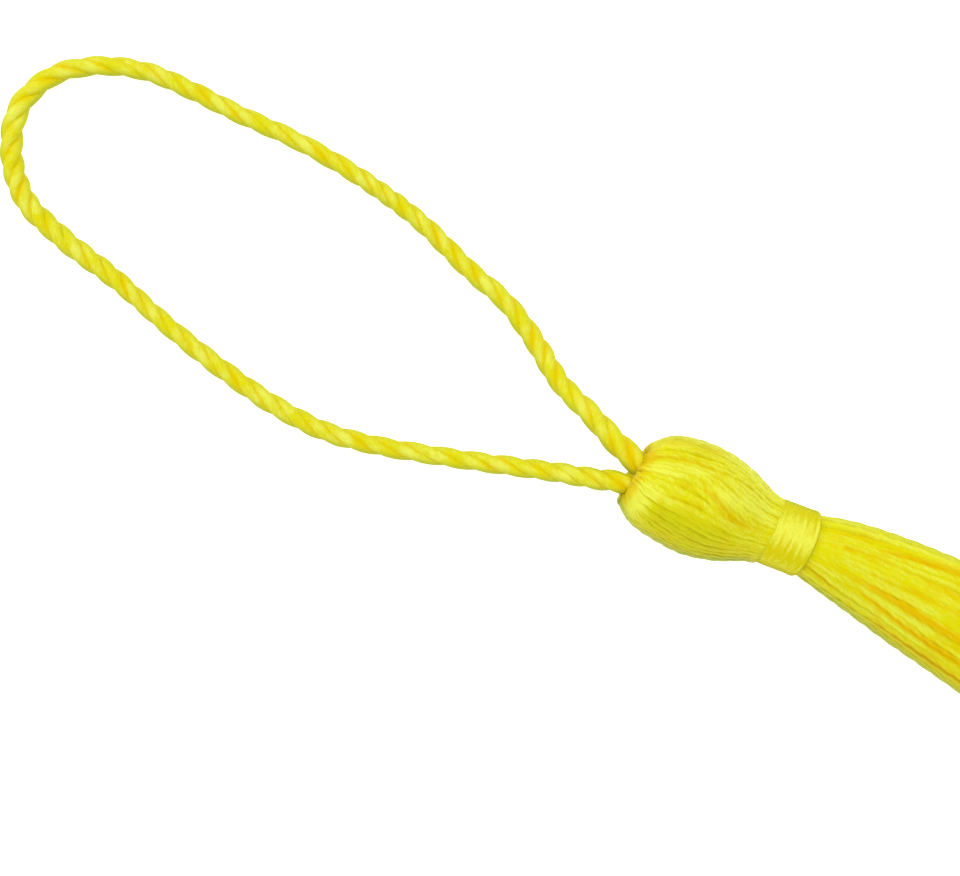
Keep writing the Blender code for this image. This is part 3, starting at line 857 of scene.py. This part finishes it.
def skirt_threads(draw, shares, deeper, sink):
    """The strands of a layer of the skirt at these shares of the way round, as in the head."""
    strands = []
    stations = skirt_stations
    for i, share in enumerate(shares):
        share = (share + draw.uniform(-0.2, 0.2) / THREADS) % 1
        angles = lie_at(skirt_lay, share, stations)
        angles = angles + wander(draw, stations, 26, 1.3) * np.interp(stations, (19, 29), (0, 1))
        flank = np.clip(np.cos(np.radians(angles)), 0, 1)
        widths = thread_widths(draw, SKIRT_WIDTHS, skirt_lay, share, stations)[0]
        widths = widths * (1 + FLANK_WIDER * flank)
        # The threads ride over one another most near the binding, some for longer than others.
        level = thread_level(draw, i)
        crowded = np.clip(1 - (stations - 19) / draw.uniform(14, 34), 0, 1)
        lowered = level * (0.03 + 0.16 * crowded) * unevenness(angles) + wander(draw, stations, 17, 0.03)
        depth = np.maximum(deeper + lowered, -HIGHEST_RISE)
        lowered = np.maximum(lowered, 0)
        depth += np.interp(stations, *SKIRT_SINK)
        depth += 0.15 * crease_at(SKIRT_CREASES, stations, angles)
        depth -= (np.interp(stations, *FLANK_PROUD) + deeper * 0.45) * flank
        points, facing = thread_run(stations, angles, widths, depth)
        facing = facing + np.outer(FLANK_LEAN * flank, (0, 0, 1))
        facing /= norm(facing, axis=1)[:, None]
        # It goes on straight to the cut, which takes up to 1.1 mm more from some than from others.
        ahead = points[-1] - points[-2]
        reach = (LIP_X + SKIRT_END + 0.15 - draw.uniform(0, 1.1)) * MM - points[-1][0]
        tip = points[-1] + ahead / ahead[0] * reach
        line = np.vstack([points, tip - ahead / norm(ahead) * CUT_FACE, tip])
        lowered = np.append(lowered, [lowered[-1]] * 2)
        strands.append({
            "line": line,
            "width": np.append(widths, [widths[-1]] * 2) * MM,
            **own_look(draw, line),
            # Painted shade on threads pushed under their neighbours, which also lose painted highlight.
            "crease": sink + 0.1 + 1.5 * lowered,
            "sheen": -7 * lowered,
            "outward": np.vstack([facing, facing[-1], (1, 0, 0)]),
        })
    return strands


# The skirt's crease, shade, body and crown colours: painted shade, painted shade, its own colour, a painted
# highlight.
SKIRT_TONES = ((0.8, 0.52, 0), (0.78, 0.655, 0), (0.76, 0.73, 0.002), (0.83, 0.86, 0.07))
skirt_dye_and_shading = silk_dye_and_shading("silk_spread_yarn", SKIRT_TONES, THREAD_FIBRES, 0.12, 0.85)
skirt_make = {**thread_make, "Ply offset": 0.12, "Turns per metre": 270.0, "Dye and shading": skirt_dye_and_shading}
outer_shares = whole_locks(skirt_key, THREADS, 0)
under_shares = whole_locks(skirt_key, SKIRT_UNDER_THREADS, 0.5)
skirt_pieces = []
draw = random.Random(42)
# The under layer lies deeper, and gets painted shade.
for name, shares, deeper, sink, sides, ring_gap in (
    ("skirt_threads_a", outer_shares[: THREADS // 2], 0, 0, 12, 0.25 * MM),
    ("skirt_threads_b", outer_shares[THREADS // 2 :], 0, 0, 12, 0.25 * MM),
    ("skirt_under_threads", under_shares, 0.32, 0.2, 8, 0.45 * MM),
):
    make = {**skirt_make, "Sides": sides, "Ring gap": ring_gap}
    piece = spun(name, skirt_threads(draw, shares, deeper, sink), thread_recipe, make)
    paint_on_yarn(piece, SKIRT_CREASES, SKIRT_LUSTRE, 0.75)
    skirt_pieces.append(piece)

# The cut end's middle is packed with short lengths of the same thread, in rows.
END_WIDTH = 0.9
END_INSET = (1.25, 0.85)
END_LOOSE = (0.12, 0.1)
end_stations = np.array([71, 72.5, 74, 75.5, 76.8])


def end_threads(draw):
    """The strands that show only at the cut end."""
    strands = []
    centre = np.stack([np.interp(end_stations, skin_stations, column) for column in middles.T], axis=1)
    half, rise = spans[-1] / MM
    for row in range(-3, 4):
        for step in range(-18, 19):
            side = (step + row % 2 / 2) * END_WIDTH + draw.uniform(-END_LOOSE[0], END_LOOSE[0])
            height = row * END_WIDTH * 0.8 + draw.uniform(-END_LOOSE[1], END_LOOSE[1])
            if math.hypot(side / (half - END_INSET[0]), height / (rise - END_INSET[1])) > 1:
                continue
            angles = np.full(len(end_stations), math.degrees(math.atan2(height / rise, side / half)))
            edge = read_grid(skin, end_stations, angles)
            part = math.hypot(side, height) * MM / norm(edge - centre, axis=1)[-1]
            points = centre + (edge - centre) * part
            tip = points[-1] + ((1.2 - draw.uniform(0, 1)) * MM, 0, 0)
            line = np.vstack([points, tip - (CUT_FACE, 0, 0), tip])
            strands.append({
                "line": line,
                "width": END_WIDTH * MM,
                "turn": draw.uniform(0, TURN),
                "tone": draw.random(),
                # The crease colour paints shade down their sides, and little on their cut faces.
                "crease": np.append([0.5] * (len(line) - 1), 0.1),
                "sheen": 0,
                "outward": (1, 0, 0),
            })
    return strands


make = {**skirt_make, "Sides": 10, "Ring gap": 0.5 * MM}
skirt_pieces.append(spun("skirt_end_threads", end_threads(random.Random(43)), thread_recipe, make))

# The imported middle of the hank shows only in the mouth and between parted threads. It is a closed
# tube that follows the skin from inside.
MIDDLE_ENDS = (2.6, 74)
MIDDLE_SUNK = 0.75 * MM
MIDDLE_LOWEST = 0.3 * MM
chosen = (skin_stations >= MIDDLE_ENDS[0]) & (skin_stations <= MIDDLE_ENDS[1])
centre = middles[chosen][:, None]
away = skin[chosen][:, ::3] - centre
reach = norm(away, axis=2)[:, :, None]
rings = centre + away * (1 - MIDDLE_SUNK / reach)
rings[:, :, 2] = np.maximum(rings[:, :, 2], MIDDLE_LOWEST)
count, sides = rings.shape[:2]
points = np.vstack([rings.reshape(-1, 3), centre[0], centre[-1]])
start_tip, end_tip = len(points) - 2, len(points) - 1
last = (count - 1) * sides
faces = []
for i in range(sides):
    j = (i + 1) % sides
    faces += [(row + i, row + j, row + sides + j, row + sides + i) for row in range(0, last, sides)]
    faces += [(start_tip, j, i), (end_tip, last + i, last + j)]
mesh = bpy.data.meshes.new("yarn_middle")
mesh.from_pydata(points.tolist(), [], faces)
up = (0, 0, 1)
give_points(mesh, "along", np.append(np.repeat(skin_stations[chosen], sides), MIDDLE_ENDS) * MM)
give_points(mesh, "around", np.vstack([(away / reach).reshape(-1, 3), up, up]))
# Its values give it painted shade all over: a low crown and a deep crease.
for label, value in {"tone": 0.5, "crown": 0.4, "groove": 0.6, "crease": 0.7, "sheen": 0}.items():
    give_points(mesh, label, np.full(len(points), value))
mesh.materials.append(yarn_dye_and_shading)
mesh.shade_smooth()
skirt_pieces.append(placed("yarn_middle", mesh))

for piece in skirt_pieces:
    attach(piece, "root")
    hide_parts("yarn_bundle")

# -------- The binding
# One length of fine silk floss, wound closely round the neck and tucked under itself. It is
# about 7 mm across and 4.5 mm wide, and its last turn stands a little proud at the skirt's side.
BINDING_PLACE = (15, 19.1)
BINDING_TURNS = 15
BINDING_RADIUS = 3.2
BINDING_HEIGHT = 4.75
BINDING_BOW = 0.55
BINDING_LEAN = math.radians(2)
FLOSS_WIDTH = 0.6
POINTS_A_TURN = 40
# Painted highlight on the turns just to the +Y side of the top, where light would catch them, and painted
# shade on both flanks.
CATCH = (
    (0, 30, 46, 60, 78, 95, 108, 122, 146, 180, 270, 360),
    (-0.2, -0.4, -0.25, 0.2, 0.5, 0.3, -0.1, -0.55, 0.1, -0.05, 0, -0.2),
)
# How far, in degrees, the painted highlight's edges shift from turn to turn.
RAGGED = 8
# The binding's crease, shade, body and crown colours: painted shade, painted shade, its own colour, a
# painted highlight.
FLOSS_TONES = ((0.8, 0.55, 0), (0.6, 0.53, 0), (0.66, 0.605, 0.003), (0.83, 0.85, 0.085))

turns = np.arange(0, BINDING_TURNS, 1 / POINTS_A_TURN)
winding = turns * TURN
# The first turn sinks in under the head, and the one before the last stands highest.
proud = 0.05 * np.exp(-(((turns - BINDING_TURNS + 1.3) / 0.8) ** 2)) - 0.14 * np.exp(-turns / 1.2)
radius = BINDING_RADIUS + proud
station = np.interp(turns, (0, BINDING_TURNS), BINDING_PLACE)
side = smooth_through(yarn_middle[:, 0], yarn_middle[:, 1], station)
across, rise = radius * np.cos(winding), radius * np.sin(winding)
bow = BINDING_BOW * (np.abs(np.sin(winding)) - 0.4)
along = LIP_X + station + bow - across * math.sin(BINDING_LEAN)
aside = side + across * math.cos(BINDING_LEAN)
floss_line = np.column_stack([along, aside, BINDING_HEIGHT + rise]) * MM
outward = np.column_stack([0 * turns, 0.5 * np.cos(winding), 0.5 + 0.5 * np.sin(winding)])
ragged = np.degrees(winding) + RAGGED * np.sin(turns * 2.3)
floss = {
    "line": floss_line,
    "width": FLOSS_WIDTH * MM,
    "turn": 0,
    "tone": 0.5 + 0.12 * np.sin(turns * 5.1),
    "crease": 0,
    # The painted highlight and painted shade of CATCH, with a little more from turn to turn.
    "sheen": np.interp(ragged % 360, *CATCH) + 0.08 * np.sin(turns * 3.7),
    "outward": outward / (norm(outward, axis=1)[:, None] + 0.001),
}
floss_dye_and_shading = silk_dye_and_shading("silk_binding", FLOSS_TONES, (0.3, 6), 0, 0.7)
floss_make = {"Plies": 1, "Ply offset": 0.0, "Turns per metre": 15.0, "Lowest": 0.02 * MM}
floss_make |= {"Dye and shading": floss_dye_and_shading, "Sides": 20, "Ring gap": 0.25 * MM}
binding = spun("binding_floss", [floss], thread_recipe, floss_make)
places = read_points(binding.data, "position", 3)
beside = places[:, 1] - np.interp(places[:, 0], floss_line[::POINTS_A_TURN, 0], side[::POINTS_A_TURN] * MM)
# Its lower half never shows from above, and gets the painted rim shade all over.
offsets = np.where(places[:, 2] > BINDING_HEIGHT * MM, beside, 1)
paint_rim_shade(binding, offsets, (BINDING_RADIUS + FLOSS_WIDTH / 2) * MM, 0, (0.7, 0.5))
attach(binding, "root")
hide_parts("neck_binding")
